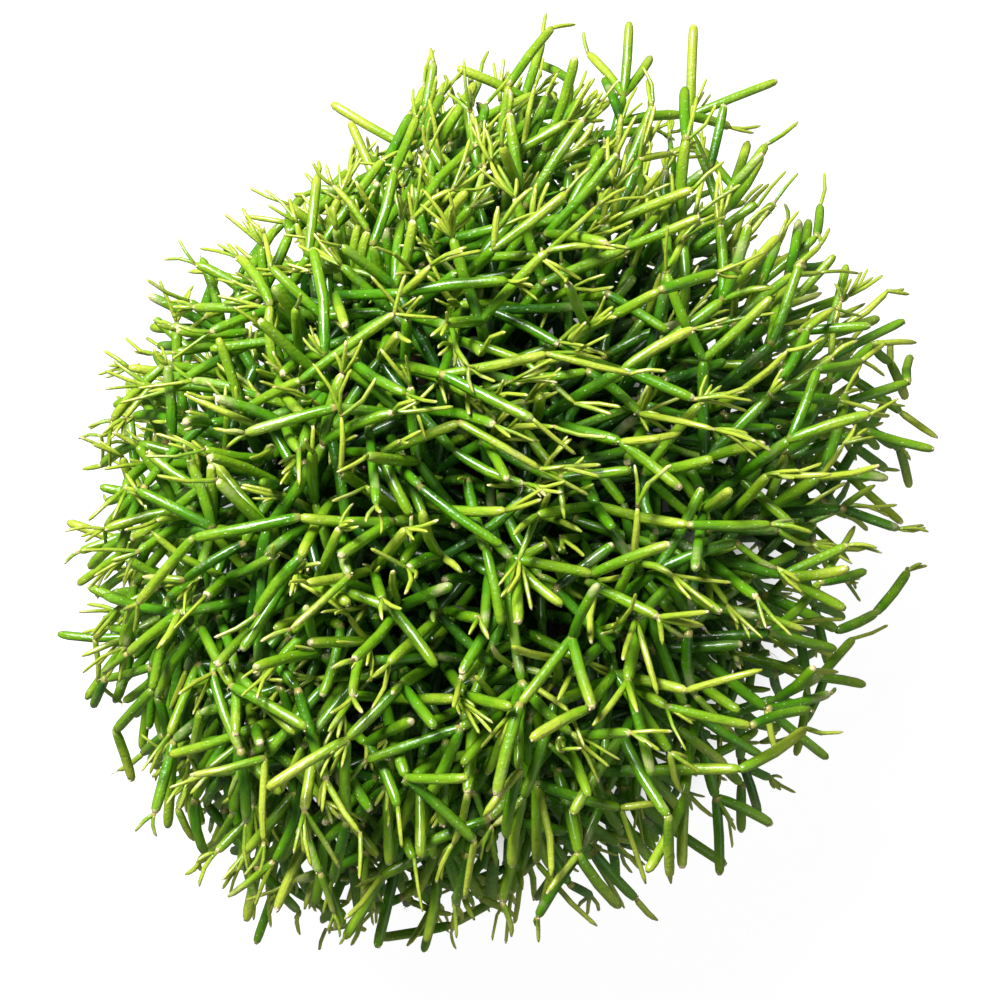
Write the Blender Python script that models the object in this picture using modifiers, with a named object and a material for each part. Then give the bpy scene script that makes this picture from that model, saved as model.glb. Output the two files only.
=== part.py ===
"""Potted mistletoe cactus: a round crown of thin, forking, leafless stems that hides its plain nursery pot.

Metres, +Z up. The origin is the centre of the pot's flat base. Seen from above, +Y is the far side.
"""

import collections
import math
import random

import bmesh
import bpy
import numpy as np
from mathutils import Vector

NAME = "mistletoe_cactus"
GAP = 0.0003
WELD = 0.00001

# Pot
POT_HEIGHT = 0.096
POT_RIM_RADIUS = 0.067
POT_RIM_HEIGHT = 0.013
POT_RIM_STEP = 0.0035
POT_RIM_TAPER = 0.001
POT_BASE_RADIUS = 0.049
POT_BASE_CHAMFER = 0.0015
POT_WALL = 0.0016
POT_FLOOR = 0.0024
POT_SIDES = 28
DRAIN_HOLES = 6
DRAIN_RADIUS = 0.004
DRAIN_RING = 0.033
DRAIN_SIDES = 10

# Soil
SOIL_TOP = 0.090
HOLE_SIDES = 6
HOLE_PAST_FOOT = 0.004

# Crown: its outline seen from above, as a radius every 15 degrees from +X towards +Y
CROWN_REACH = (
    0.142, 0.145, 0.139, 0.142, 0.145, 0.149, 0.134, 0.117,
    0.110, 0.107, 0.109, 0.109, 0.111, 0.119, 0.125, 0.132,
    0.139, 0.139, 0.132, 0.132, 0.137, 0.132, 0.132, 0.130,
)  # fmt: skip
CROWN_WAIST = 0.100
CROWN_RISE = 0.102
CROWN_ROUNDNESS = 2.4
SKIRT_DEPTH = 0.070
SKIRT_TUCK = 0.22
HEART = Vector((0, 0, 0.085))
POT_CLEAR = 0.004

# Stems
SEED = 7
STEMS = 40
ROOT_SPREAD = 0.053
ROOT_DEPTH = 0.012
ROOT_LEAN = math.radians(48)
ROOT_SWAY = math.radians(3)
GOLDEN_TURN = math.pi * (3 - math.sqrt(5))
STEM_GAP = 0.0012
TRUNK_RESOLUTION = 1
BRANCH_RESOLUTION = 0
SUNK = 0.0003
TIP_TAPER = 0.72
JOINT_TAPER = 0.5

# Forks
FORK_LEAST = math.radians(16)
FORK_MOST = math.radians(56)
SISTERS_LEAST = math.radians(38)
SAG = 0.40
TRIES = 40
NEAR = 0.06
TIP_FROM = 0.7
ROOM_WANTED = 0.016
OUTWARD_PULL = 0.35
MOST_SEGMENTS = 2000

# From the soil outwards: a segment's length and radius, how many daughters its end bears, how far out in the
# crown its end may lie, and how much it has to point away from the crown's heart
Order = collections.namedtuple("Order", "length radius daughters slack outward")
ORDERS = (
    Order((0.038, 0.058), 0.0022, (2, 3), (0.72, 0.80), -1.0),
    Order((0.028, 0.040), 0.0021, (2, 2), (0.80, 0.94), 0.0),
    Order((0.024, 0.034), 0.0019, (1, 2), (0.88, 1.02), 0.1),
    Order((0.021, 0.032), 0.0017, (0, 0), (0.98, 1.12), 0.2),
    Order((0.024, 0.036), 0.0018, (0, 0), (0.60, 0.96), -0.6),
    Order((0.020, 0.032), 0.0017, (0, 0), (0.96, 1.12), 0.1),
    Order((0.006, 0.013), 0.0008, (0, 0), (1.00, 1.20), 0.0),
)
INNER, TWIG, SHOOT = 4, 5, 6

# Side twigs between the forked stems: how many are wanted, how far out in the crown they start, and how many
# places are tried for each
INNER_TWIGS = 80
INNER_BAND = (0.25, 0.90)
OUTER_TWIGS = 228
OUTER_BAND = (0.60, 1.10)
PATIENCE = 8
MOST_DAUGHTERS = 4

# Young shoots at the tips
SHOOT_SHARE = 0.12
SHOOTS = 2
SHOOT_SIDES = 3

# Long sprigs that stand out of the crown's edge: where each leaves it, where it forks, and its two tips
SPRIGS = (
    ((0.070, 0.102, 0.115), (0.076, 0.129, 0.122), (0.077, 0.159, 0.128), (0.105, 0.140, 0.125)),
    ((0.046, 0.108, 0.128), (0.053, 0.133, 0.130), (0.055, 0.158, 0.132), (0.063, 0.150, 0.122)),
    ((0.022, 0.104, 0.145), (0.020, 0.128, 0.140), (-0.002, 0.136, 0.145), (0.026, 0.150, 0.135)),
    ((-0.012, 0.088, 0.150), (-0.020, 0.112, 0.140), (-0.043, 0.126, 0.140), (-0.013, 0.135, 0.132)),
    ((0.094, 0.034, 0.128), (0.118, 0.045, 0.118), (0.146, 0.059, 0.118), (0.146, 0.030, 0.108)),
    ((-0.052, -0.096, 0.092), (-0.060, -0.118, 0.075), (-0.072, -0.146, 0.058), (-0.046, -0.138, 0.062)),
    ((-0.088, -0.034, 0.115), (-0.110, -0.044, 0.100), (-0.135, -0.043, 0.098), (-0.127, -0.064, 0.088)),
    ((-0.084, -0.012, 0.124), (-0.108, -0.016, 0.112), (-0.131, -0.007, 0.108), (-0.128, -0.027, 0.102)),
)
SPRIG_FROM = (0.014, 0.060)
SPRIG_TURN = math.radians(75)

Segment = collections.namedtuple("Segment", "start end radius stem order parent")


def reach(azimuth):
    """The crown's radius at this azimuth, eased between the outline's points."""
    place = azimuth % math.tau / math.tau * len(CROWN_REACH)
    first = int(place) % len(CROWN_REACH)
    share = place - int(place)
    share = share * share * (3 - 2 * share)
    return CROWN_REACH[first] * (1 - share) + CROWN_REACH[(first + 1) % len(CROWN_REACH)] * share


def outness(point):
    """How far out in the crown a point lies: 0 at its heart and 1 on its outline."""
    across = math.hypot(point[0], point[1]) / reach(math.atan2(point[1], point[0]))
    up = max(point[2] - CROWN_WAIST, 0) / CROWN_RISE
    return (across**CROWN_ROUNDNESS + up**CROWN_ROUNDNESS) ** (1 / CROWN_ROUNDNESS)


def inside_crown(point, slack):
    """Whether a point lies within the crown's outline, made larger or smaller by slack."""
    across = math.hypot(point[0], point[1]) / (reach(math.atan2(point[1], point[0])) * slack)
    if point[2] >= CROWN_WAIST:
        up = (point[2] - CROWN_WAIST) / (CROWN_RISE * slack)
        return across**CROWN_ROUNDNESS + up**CROWN_ROUNDNESS < 1
    down = (CROWN_WAIST - point[2]) / SKIRT_DEPTH
    return down < 1 and across + SKIRT_TUCK * down**2 < 1


def clear_of_pot(point):
    """Whether a point keeps its distance from the pot, and from the soil in it."""
    radius = math.hypot(point[0], point[1])
    if point[2] > POT_HEIGHT + POT_CLEAR:
        return True
    if radius < POT_RIM_RADIUS - POT_CLEAR - POT_WALL:
        return point[2] > SOIL_TOP + POT_CLEAR
    return radius > POT_RIM_RADIUS + 2 * POT_CLEAR


def segment_gaps(starts, ends, others_start, others_end):
    """The least distances between the axes of some straight segments and those of others, as a table."""
    u = (ends - starts)[:, None]
    v = (others_end - others_start)[None]
    w = starts[:, None] - others_start[None]
    a = (u * u).sum(2)
    b = (u * v).sum(2)
    c = (v * v).sum(2)
    d = (u * w).sum(2)
    e = (v * w).sum(2)
    s = np.clip((b * e - c * d) / np.maximum(a * c - b * b, 1e-14), 0, 1)
    t = np.clip((b * s + e) / c, 0, 1)
    s = np.clip((b * t - d) / a, 0, 1)
    apart = w + s[..., None] * u - t[..., None] * v
    return np.sqrt((apart * apart).sum(2))


class Thicket:
    """The segments grown so far, and the room that they leave."""

    def __init__(self, seed):
        self.random = random.Random(seed)
        self.segments = []
        self.starts = np.zeros((MOST_SEGMENTS, 3))
        self.ends = np.zeros((MOST_SEGMENTS, 3))
        self.radii = np.zeros(MOST_SEGMENTS)
        self.parents = np.zeros(MOST_SEGMENTS, int)
        self.daughters = []

    def add(self, start, end, order, stem, parent):
        index = len(self.segments)
        radius = ORDERS[order].radius
        self.segments.append(Segment(start, end, radius, stem, order, parent))
        self.starts[index] = start
        self.ends[index] = end
        self.radii[index] = radius
        self.parents[index] = parent
        self.daughters.append([])
        if parent >= 0:
            self.daughters[parent].append(index)
        return index

    def clearances(self, start, ends, radius, mother):
        """For segments from one start to several ends: the least gap to the rest, and the room at the tip."""
        count = len(self.segments)
        middles = (self.starts[:count] + self.ends[:count]) / 2
        near = ((middles - np.array(start)) ** 2).sum(1) < NEAR**2
        near[mother] = False
        near &= self.parents[:count] != mother
        if not near.any():
            return np.full(len(ends), ROOM_WANTED), np.full(len(ends), ROOM_WANTED)
        ends = np.array(ends)
        starts = np.array([start] * len(ends))
        others = (self.starts[:count][near], self.ends[:count][near])
        gaps = segment_gaps(starts, ends, *others) - self.radii[:count][near] - radius
        rooms = segment_gaps(starts + (ends - starts) * TIP_FROM, ends, *others)
        return gaps.min(1), np.minimum(rooms.min(1), ROOM_WANTED)

    def turned(self, direction):
        """A direction that leans away from the given one as a fork's arm does, any way round."""
        lean = self.random.uniform(FORK_LEAST, FORK_MOST)
        roll = self.random.uniform(0, math.tau)
        side = direction.orthogonal().normalized()
        other = direction.cross(side)
        return direction * math.cos(lean) + (side * math.cos(roll) + other * math.sin(roll)) * math.sin(lean)

    def fork(self, mother, order, gap):
        """Grows the freest of several tries at a segment from another's end. None where there is no room."""
        stem = self.segments[mother]
        plan = ORDERS[order]
        direction = (stem.end - stem.start).normalized()
        sisters = [self.segments[i].end - self.segments[i].start for i in self.daughters[mother]]
        slack = self.random.uniform(*plan.slack)
        sag = SAG * math.hypot(stem.end.x, stem.end.y) / CROWN_REACH[0]
        ways = []
        for _ in range(TRIES):
            way = (self.turned(direction) - Vector((0, 0, sag))).normalized()
            end = stem.end + way * self.random.uniform(*plan.length)
            if way.dot((end - HEART).normalized()) < plan.outward or not inside_crown(end, slack):
                continue
            if not clear_of_pot(end) or not clear_of_pot((stem.end + end) / 2):
                continue
            if all(way.angle(sister) > SISTERS_LEAST for sister in sisters):
                ways.append((way, end))
        if not ways:
            return None
        gaps, rooms = self.clearances(stem.end, [end for _, end in ways], plan.radius, mother)
        outward = Vector((stem.end.x, stem.end.y, 0)) / CROWN_REACH[0]
        best, best_score = None, 0.0
        for (way, end), clear, room in zip(ways, gaps, rooms):
            score = 1 + room / ROOM_WANTED + OUTWARD_PULL * way.dot(outward)
            if clear > gap and score > best_score:
                best, best_score = end, score
        if best is None:
            return None
        return self.add(stem.end, best, order, stem.stem, mother)

    def root(self, stem):
        """A stem's first segment: it stands in the soil, and leans out more the nearer it is to the wall."""
        share = math.sqrt((stem + 0.5) / STEMS)
        azimuth = stem * GOLDEN_TURN
        room = (reach(azimuth) - POT_RIM_RADIUS) / (max(CROWN_REACH) - POT_RIM_RADIUS)
        lean = ROOT_LEAN * share * room**0.5 + self.random.uniform(-ROOT_SWAY, ROOT_SWAY)
        out = Vector((math.cos(azimuth), math.sin(azimuth), 0))
        foot = out * share * ROOT_SPREAD + Vector((0, 0, SOIL_TOP))
        way = out * math.sin(lean) + Vector((0, 0, math.cos(lean)))
        end = foot + way * self.random.uniform(*ORDERS[0].length)
        return self.add(foot - way * ROOT_DEPTH, end, 0, stem, -1)

    def free(self, mother, points):
        """Whether a run of segments through these points, from a segment's end, stays clear of the others."""
        starts = [self.segments[mother].end, *points]
        radius = ORDERS[2].radius
        return all(self.clearances(a, [b], radius, mother)[0][0] > STEM_GAP for a, b in zip(starts, points))

    def sprig(self, *places):
        """Grows a placed sprig from the nearest segment end that points its way and leaves it room."""
        foot, joint, first, second = map(Vector, places)
        for mother in sorted(range(len(self.segments)), key=lambda i: (self.segments[i].end - foot).length):
            stem = self.segments[mother]
            reaching = foot - stem.end
            if stem.order > 1 or not SPRIG_FROM[0] < reaching.length < SPRIG_FROM[1]:
                continue
            if reaching.angle(stem.end - stem.start) < SPRIG_TURN and self.free(mother, (foot, joint, first)):
                arm = self.add(stem.end, foot, 2, stem.stem, mother)
                arm = self.add(foot, joint, 3, stem.stem, arm)
                self.add(joint, first, 3, stem.stem, arm)
                self.add(joint, second, 3, stem.stem, arm)
                return

    def grow(self):
        """Roots every stem, then lets all of them fork, one order after another."""
        tips = [self.root(stem) for stem in range(STEMS)]
        for order in range(1, INNER):
            self.random.shuffle(tips)
            born = []
            for tip in tips:
                for _ in range(self.random.randint(*ORDERS[order - 1].daughters)):
                    daughter = self.fork(tip, order, STEM_GAP)
                    if daughter is not None:
                        born.append(daughter)
            tips = born
            if order == 1:
                for places in SPRIGS:
                    self.sprig(*places)

    def fill(self, order, wanted, gap, band):
        """Adds side twigs of one order, from segments whose ends lie in a band of the crown."""
        born = 0
        for _ in range(wanted * PATIENCE):
            mother = self.random.randrange(len(self.segments))
            if len(self.daughters[mother]) >= MOST_DAUGHTERS:
                continue
            in_band = band[0] < outness(self.segments[mother].end) < band[1]
            if in_band and self.fork(mother, order, gap) is not None:
                born += 1
                if born == wanted:
                    return

    def sprout(self, share, gap):
        """Gives a share of the stems' tips a pair of thin young shoots."""
        tips = [i for i in range(len(self.segments)) if not self.daughters[i]]
        for tip in tips:
            if self.random.random() < share:
                for _ in range(SHOOTS):
                    self.fork(tip, SHOOT, gap)


def clear_scene():
    for item in list(bpy.data.objects):
        bpy.data.objects.remove(item)


def new_collection(name):
    collection = bpy.data.collections.new(name)
    bpy.context.scene.collection.children.link(collection)
    return collection


def new_material(name, colour, roughness):
    """A plain material; its colour is a linear red, green and blue."""
    material = bpy.data.materials.new(name)
    material.use_nodes = True
    shader = material.node_tree.nodes["Principled BSDF"]
    shader.inputs["Base Color"].default_value = (*colour, 1)
    shader.inputs["Roughness"].default_value = roughness
    shader.inputs["Metallic"].default_value = 0
    return material


def new_object(name, data, collection):
    item = bpy.data.objects.new(name, data)
    collection.objects.link(item)
    return item


def turned_solid(name, profile, collection, material):
    """A profile of radii and heights, which starts and ends on the axis, turned about the Z axis."""
    mesh = bpy.data.meshes.new(name)
    shape = bmesh.new()
    points = [shape.verts.new((radius, 0, height)) for radius, height in profile]
    for first, second in zip(points, points[1:]):
        shape.edges.new((first, second))
    shape.to_mesh(mesh)
    shape.free()
    mesh.materials.append(material)
    item = new_object(name, mesh, collection)
    screw = item.modifiers.new("turn", "SCREW")
    screw.steps = screw.render_steps = POT_SIDES
    screw.use_merge_vertices = True
    screw.merge_threshold = WELD
    return item


def cone_object(name, start, end, radii, sides, collection):
    """A closed, straight-sided solid from one point to another."""
    along = end - start
    shape = bmesh.new()
    bmesh.ops.create_cone(
        shape, cap_ends=True, segments=sides, radius1=radii[0], radius2=radii[1], depth=along.length
    )
    bmesh.ops.rotate(shape, verts=shape.verts, matrix=along.to_track_quat("Z", "Y").to_matrix())
    bmesh.ops.translate(shape, verts=shape.verts, vec=(start + end) / 2)
    mesh = bpy.data.meshes.new(name)
    shape.to_mesh(mesh)
    shape.free()
    return new_object(name, mesh, collection)


def add_cutter(name, start, end, radius, sides, collection):
    cutter = cone_object(name, start, end, (radius, radius), sides, collection)
    cutter.hide_render = True
    cutter.display_type = "WIRE"


def cut_by(item, cutters):
    """Takes every shape in a collection out of an object."""
    cut = item.modifiers.new("holes", "BOOLEAN")
    cut.operation = "DIFFERENCE"
    cut.operand_type = "COLLECTION"
    cut.collection = cutters


def wall_radius(height):
    """The radius of the pot's outer wall under the rim, which widens from the base."""
    rim_foot = POT_HEIGHT - POT_RIM_HEIGHT
    top = POT_RIM_RADIUS - POT_RIM_STEP
    return POT_BASE_RADIUS + (top - POT_BASE_RADIUS) * height / rim_foot


def pot_profile():
    """From the middle of the inner floor, up the inside, over the rim and down the outside to the base."""
    rim_foot = POT_HEIGHT - POT_RIM_HEIGHT
    return (
        (0, POT_FLOOR),
        (wall_radius(POT_FLOOR) - POT_WALL, POT_FLOOR),
        (wall_radius(rim_foot) - POT_WALL, rim_foot),
        (POT_RIM_RADIUS - POT_RIM_TAPER - POT_WALL, rim_foot + POT_WALL),
        (POT_RIM_RADIUS - POT_WALL, POT_HEIGHT),
        (POT_RIM_RADIUS, POT_HEIGHT),
        (POT_RIM_RADIUS - POT_RIM_TAPER, rim_foot),
        (wall_radius(rim_foot), rim_foot),
        (wall_radius(POT_BASE_CHAMFER), POT_BASE_CHAMFER),
        (POT_BASE_RADIUS - POT_BASE_CHAMFER, 0),
        (0, 0),
    )


def soil_profile():
    """The inside of the pot up to the soil's top, less the gap that keeps the two apart."""
    rim_foot = POT_HEIGHT - POT_RIM_HEIGHT
    bottom = POT_FLOOR + GAP
    inset = POT_WALL + GAP
    return (
        (0, SOIL_TOP),
        (wall_radius(rim_foot) - inset, SOIL_TOP),
        (wall_radius(rim_foot) - inset, rim_foot),
        (wall_radius(bottom) - inset, bottom),
        (0, bottom),
    )


def make_pot(collection, cutters):
    material = new_material("moulded_polypropylene", (0.018, 0.019, 0.018), 0.5)
    pot = turned_solid("pot", pot_profile(), collection, material)
    for turn in range(DRAIN_HOLES):
        azimuth = math.tau * (turn + 0.5) / DRAIN_HOLES
        place = Vector((math.cos(azimuth) * DRAIN_RING, math.sin(azimuth) * DRAIN_RING, 0))
        below = place - Vector((0, 0, POT_FLOOR))
        above = place + Vector((0, 0, POT_FLOOR * 2))
        add_cutter(f"drain_hole_{turn + 1}", below, above, DRAIN_RADIUS, DRAIN_SIDES, cutters)
    cut_by(pot, cutters)


def make_soil(collection, cutters, thicket):
    material = new_material("peat_soil", (0.028, 0.018, 0.011), 0.95)
    soil = turned_solid("potting_soil", soil_profile(), collection, material)
    for segment in thicket.segments[:STEMS]:
        way = (segment.end - segment.start).normalized()
        mouth = segment.start + way * (ROOT_DEPTH + HOLE_PAST_FOOT)
        radius = (segment.radius + GAP) / math.cos(math.pi / HOLE_SIDES)
        name = f"stem_hole_{segment.stem + 1:02d}"
        add_cutter(name, segment.start - way * GAP, mouth, radius, HOLE_SIDES, cutters)
    cut_by(soil, cutters)


def runs_of(thicket, stem):
    """A stem's segments as unbroken runs: each goes on through its straightest daughter."""
    runs = []
    starts = [stem]
    while starts:
        run = [starts.pop()]
        while True:
            here = thicket.segments[run[-1]]
            way = here.end - here.start
            daughters = [i for i in thicket.daughters[run[-1]] if thicket.segments[i].order < SHOOT]
            if not daughters:
                break
            daughters.sort(key=lambda i: way.angle(thicket.segments[i].end - thicket.segments[i].start))
            starts += daughters[1:]
            run.append(daughters[0])
        runs.append(run)
    return runs


def sunk_start(segment):
    """Where a segment begins, sunk into its mother's end. A rooted one begins at the bottom of its hole."""
    if segment.parent < 0:
        return segment.start
    return segment.start - (segment.end - segment.start).normalized() * SUNK


def run_object(name, thicket, run, collection):
    """One unbroken run of segments as a tube of six sides, or four if it is a branch, narrower at its tip."""
    first = thicket.segments[run[0]]
    points = [(sunk_start(first), first.radius if first.parent < 0 else first.radius * JOINT_TAPER)]
    points += [(thicket.segments[i].end, thicket.segments[i].radius) for i in run]
    points[-1] = (points[-1][0], points[-1][1] * TIP_TAPER)
    curve = bpy.data.curves.new(name, "CURVE")
    curve.dimensions = "3D"
    curve.bevel_depth = 1
    curve.bevel_resolution = TRUNK_RESOLUTION if first.parent < 0 else BRANCH_RESOLUTION
    curve.use_fill_caps = True
    spline = curve.splines.new("POLY")
    spline.points.add(len(points) - 1)
    for point, (place, radius) in zip(spline.points, points):
        point.co = (*place, 1)
        point.radius = radius
    rail = new_object(name, curve, collection)
    mesh = bpy.data.meshes.new_from_object(rail.evaluated_get(bpy.context.evaluated_depsgraph_get()))
    shape = bmesh.new()
    shape.from_mesh(mesh)
    bmesh.ops.remove_doubles(shape, verts=shape.verts, dist=WELD)
    shape.to_mesh(mesh)
    shape.free()
    tube = new_object(name + "_tube", mesh, collection)
    tube.matrix_world = rail.matrix_world
    bpy.data.objects.remove(rail)
    bpy.data.curves.remove(curve)
    return tube


def make_stem(thicket, stem, collection, material):
    """A rooted stem: its runs of segments and its young shoots, joined where they fork."""
    name = f"stem_{stem + 1:02d}"
    branches = new_collection(name + "_branches")
    runs = runs_of(thicket, stem)
    trunk = run_object(name, thicket, runs[0], collection)
    for turn, run in enumerate(runs[1:]):
        run_object(f"{name}_run_{turn}", thicket, run, branches)
    for turn, segment in enumerate(thicket.segments):
        if segment.stem == stem and segment.order == SHOOT:
            start = segment.start - (segment.end - segment.start).normalized() * segment.radius
            shoot = f"{name}_shoot_{turn}"
            cone_object(shoot, start, segment.end, (segment.radius, 0), SHOOT_SIDES, branches)
    if branches.objects:
        join = trunk.modifiers.new("branches", "BOOLEAN")
        join.operation = "UNION"
        join.operand_type = "COLLECTION"
        join.collection = branches
        join.solver = "MANIFOLD"
    joined = bpy.data.meshes.new_from_object(trunk.evaluated_get(bpy.context.evaluated_depsgraph_get()))
    trunk.modifiers.clear()
    trunk.data = joined
    trunk.name = joined.name = name
    joined.materials.clear()
    joined.materials.append(material)
    for branch in list(branches.objects):
        bpy.data.objects.remove(branch)
    bpy.data.collections.remove(branches)


def main():
    clear_scene()
    collection = new_collection(NAME)
    thicket = Thicket(SEED)
    thicket.grow()
    thicket.fill(INNER, INNER_TWIGS, STEM_GAP, INNER_BAND)
    thicket.fill(TWIG, OUTER_TWIGS, STEM_GAP, OUTER_BAND)
    thicket.sprout(SHOOT_SHARE, STEM_GAP)
    flesh = new_material("stem_flesh", (0.08, 0.20, 0.025), 0.35)
    for stem in range(STEMS):
        make_stem(thicket, stem, collection, flesh)
    make_pot(collection, new_collection("drain_hole_cutters"))
    make_soil(collection, new_collection("stem_hole_cutters"), thicket)


if __name__ == "__main__":
    main()
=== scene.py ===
"""Dresses the potted mistletoe cactus: fleshy stems, twigs, young shoots, woolly tips, nursery pot and peat.

Metres, +Z up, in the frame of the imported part. The stems grow by the same seeded rule as the part's own, so
each dressed stem follows its solid, and the finer growth between them goes on from there.
"""

import collections
import copy
import functools
import math
import random

import bmesh
import bpy
import numpy as np
from mathutils import Matrix, Vector


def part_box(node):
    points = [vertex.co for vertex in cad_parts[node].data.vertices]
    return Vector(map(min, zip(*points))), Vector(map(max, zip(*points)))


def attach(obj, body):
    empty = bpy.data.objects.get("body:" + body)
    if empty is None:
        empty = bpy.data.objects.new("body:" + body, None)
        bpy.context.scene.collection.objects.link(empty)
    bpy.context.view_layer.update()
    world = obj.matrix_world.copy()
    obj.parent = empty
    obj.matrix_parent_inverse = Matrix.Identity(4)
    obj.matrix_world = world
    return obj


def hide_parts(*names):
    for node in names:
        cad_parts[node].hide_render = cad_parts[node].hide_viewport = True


bl_info = {
    "name": "Potted mistletoe cactus",
    "version": (1, 0, 0),
    "blender": (4, 5, 0),
    "location": "3D View > Sidebar > Mistletoe cactus",
    "description": "Grows a mistletoe cactus round its solids, and finishes its pot and soil",
    "category": "Add Mesh",
}

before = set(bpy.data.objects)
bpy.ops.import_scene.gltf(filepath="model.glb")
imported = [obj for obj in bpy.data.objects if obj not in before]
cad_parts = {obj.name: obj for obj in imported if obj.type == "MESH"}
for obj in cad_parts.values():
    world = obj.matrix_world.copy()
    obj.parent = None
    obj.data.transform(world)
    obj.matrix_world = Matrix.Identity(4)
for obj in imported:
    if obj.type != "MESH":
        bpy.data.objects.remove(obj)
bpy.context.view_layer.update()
MM = 0.001

# Pot
POT_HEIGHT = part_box("pot")[1].z
POT_RIM_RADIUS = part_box("pot")[1].x
POT_RIM_HEIGHT = 0.013
POT_RIM_STEP = 0.0035
POT_RIM_TAPER = 0.001
POT_BASE_RADIUS = 0.049
POT_BASE_CHAMFER = 0.0015
POT_WALL = 0.0016
POT_FLOOR = 0.0024
POT_STEPS = 96
POT_EDGE = 0.0005
SAME_POINT = 0.000005
SHARP_EDGE = math.radians(25)
DRAIN_HOLES = 6
DRAIN_RADIUS = 0.004
DRAIN_RING = 0.033
DRAIN_SIDES = 24

# Soil
SOIL_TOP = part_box("potting_soil")[1].z
SOIL_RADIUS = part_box("potting_soil")[1].x
LUMP_LIFT = 0.35
LUMP_FLAT = 0.75
FOOT_ROOM = 1.5

# Crown: its outline seen from above, as a radius every 15 degrees from +X towards +Y
CROWN_REACH = (
    0.142, 0.145, 0.139, 0.142, 0.145, 0.149, 0.134, 0.117,
    0.110, 0.107, 0.109, 0.109, 0.111, 0.119, 0.125, 0.132,
    0.139, 0.139, 0.132, 0.132, 0.137, 0.132, 0.132, 0.130,
)  # fmt: skip
CROWN_WAIST = 0.100
CROWN_RISE = 0.102
CROWN_ROUNDNESS = 2.4
SKIRT_DEPTH = 0.070
SKIRT_TUCK = 0.22
HEART = Vector((0, 0, 0.085))
POT_CLEAR = 0.004

# Stems
STEMS = 40
ROOT_SPREAD = 0.053
ROOT_DEPTH = 0.012
ROOT_LEAN = math.radians(48)
ROOT_SWAY = math.radians(3)
GOLDEN_TURN = math.pi * (3 - math.sqrt(5))
STEM_GAP = 0.0012

# Forks
FORK_LEAST = math.radians(16)
FORK_MOST = math.radians(56)
SISTERS_LEAST = math.radians(38)
SHOOTS_LEAST = math.radians(12)
SHOOTS_MOST = math.radians(40)
SAG = 0.40
TRIES = 40
NEAR = 0.06
TIP_FROM = 0.7
ROOM_WANTED = 0.016
OUTWARD_PULL = 0.35
MOST_SEGMENTS = 14000
PARALLEL = 1e-14

# A segment's length and radius, how many daughters its end bears, how far out in the crown its end may lie,
# and how much it has to point away from the crown's heart. The first seven are the solids' own.
Order = collections.namedtuple("Order", "length radius daughters slack outward")
ORDERS = (
    Order((0.038, 0.058), 0.0022, (2, 3), (0.72, 0.80), -1.0),
    Order((0.028, 0.040), 0.0021, (2, 2), (0.80, 0.94), 0.0),
    Order((0.024, 0.034), 0.0019, (1, 2), (0.88, 1.02), 0.1),
    Order((0.021, 0.032), 0.0017, (0, 0), (0.98, 1.12), 0.2),
    Order((0.024, 0.036), 0.0018, (0, 0), (0.60, 0.96), -0.6),
    Order((0.020, 0.032), 0.0017, (0, 0), (0.96, 1.12), 0.1),
    Order((0.006, 0.013), 0.0008, (0, 0), (1.00, 1.20), 0.0),
    Order((0.022, 0.036), 0.0018, (0, 0), (0.50, 0.94), -0.8),
    Order((0.020, 0.036), 0.0017, (0, 0), (0.88, 1.08), 0.25),
    Order((0.012, 0.028), 0.0011, (0, 0), (0.96, 1.12), 0.2),
    Order((0.006, 0.017), 0.00066, (0, 0), (0.98, 1.18), -0.2),
    Order((0.002, 0.006), 0.00014, (0, 0), (0.96, 1.18), -0.6),
)
INNER, TWIG, SHOOT, FINE_INNER, FINE_TWIG, YOUNG, SPROUT, BRISTLE = range(4, 12)
THIN = (SHOOT, YOUNG, SPROUT, BRISTLE)

# Side twigs between the forked stems: how many the solids have, how far out in the crown they start, and how
# many places are tried for each. Then the shoots in pairs that some tips bear.
INNER_TWIGS = 80
INNER_BAND = (0.25, 0.90)
OUTER_TWIGS = 228
OUTER_BAND = (0.60, 1.10)
PATIENCE = 8
MOST_DAUGHTERS = 4
SHOOT_SHARE = 0.12
SHOOTS = 2

# The finer growth: where it starts, and the gap to its neighbours. Below 0 it may press a little into them.
FINE_INNER_BAND = (0.0, 0.90)
FINE_INNER_GAP = -0.0002
FINE_TWIG_BAND = (0.50, 1.02)
YOUNG_BAND = (0.70, 1.12)
FINE_GAP = 0.0003
TUFTS_FROM = 0.68
TUFT_GAP = -0.0005

# How far out the finer twigs fill the crown, as a share of its reach, every 30 degrees from +X towards +Y
FULLNESS = (0.84, 0.82, 0.83, 0.93, 0.96, 1.02, 1.00, 0.99, 0.96, 0.93, 0.89, 0.82)

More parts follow.
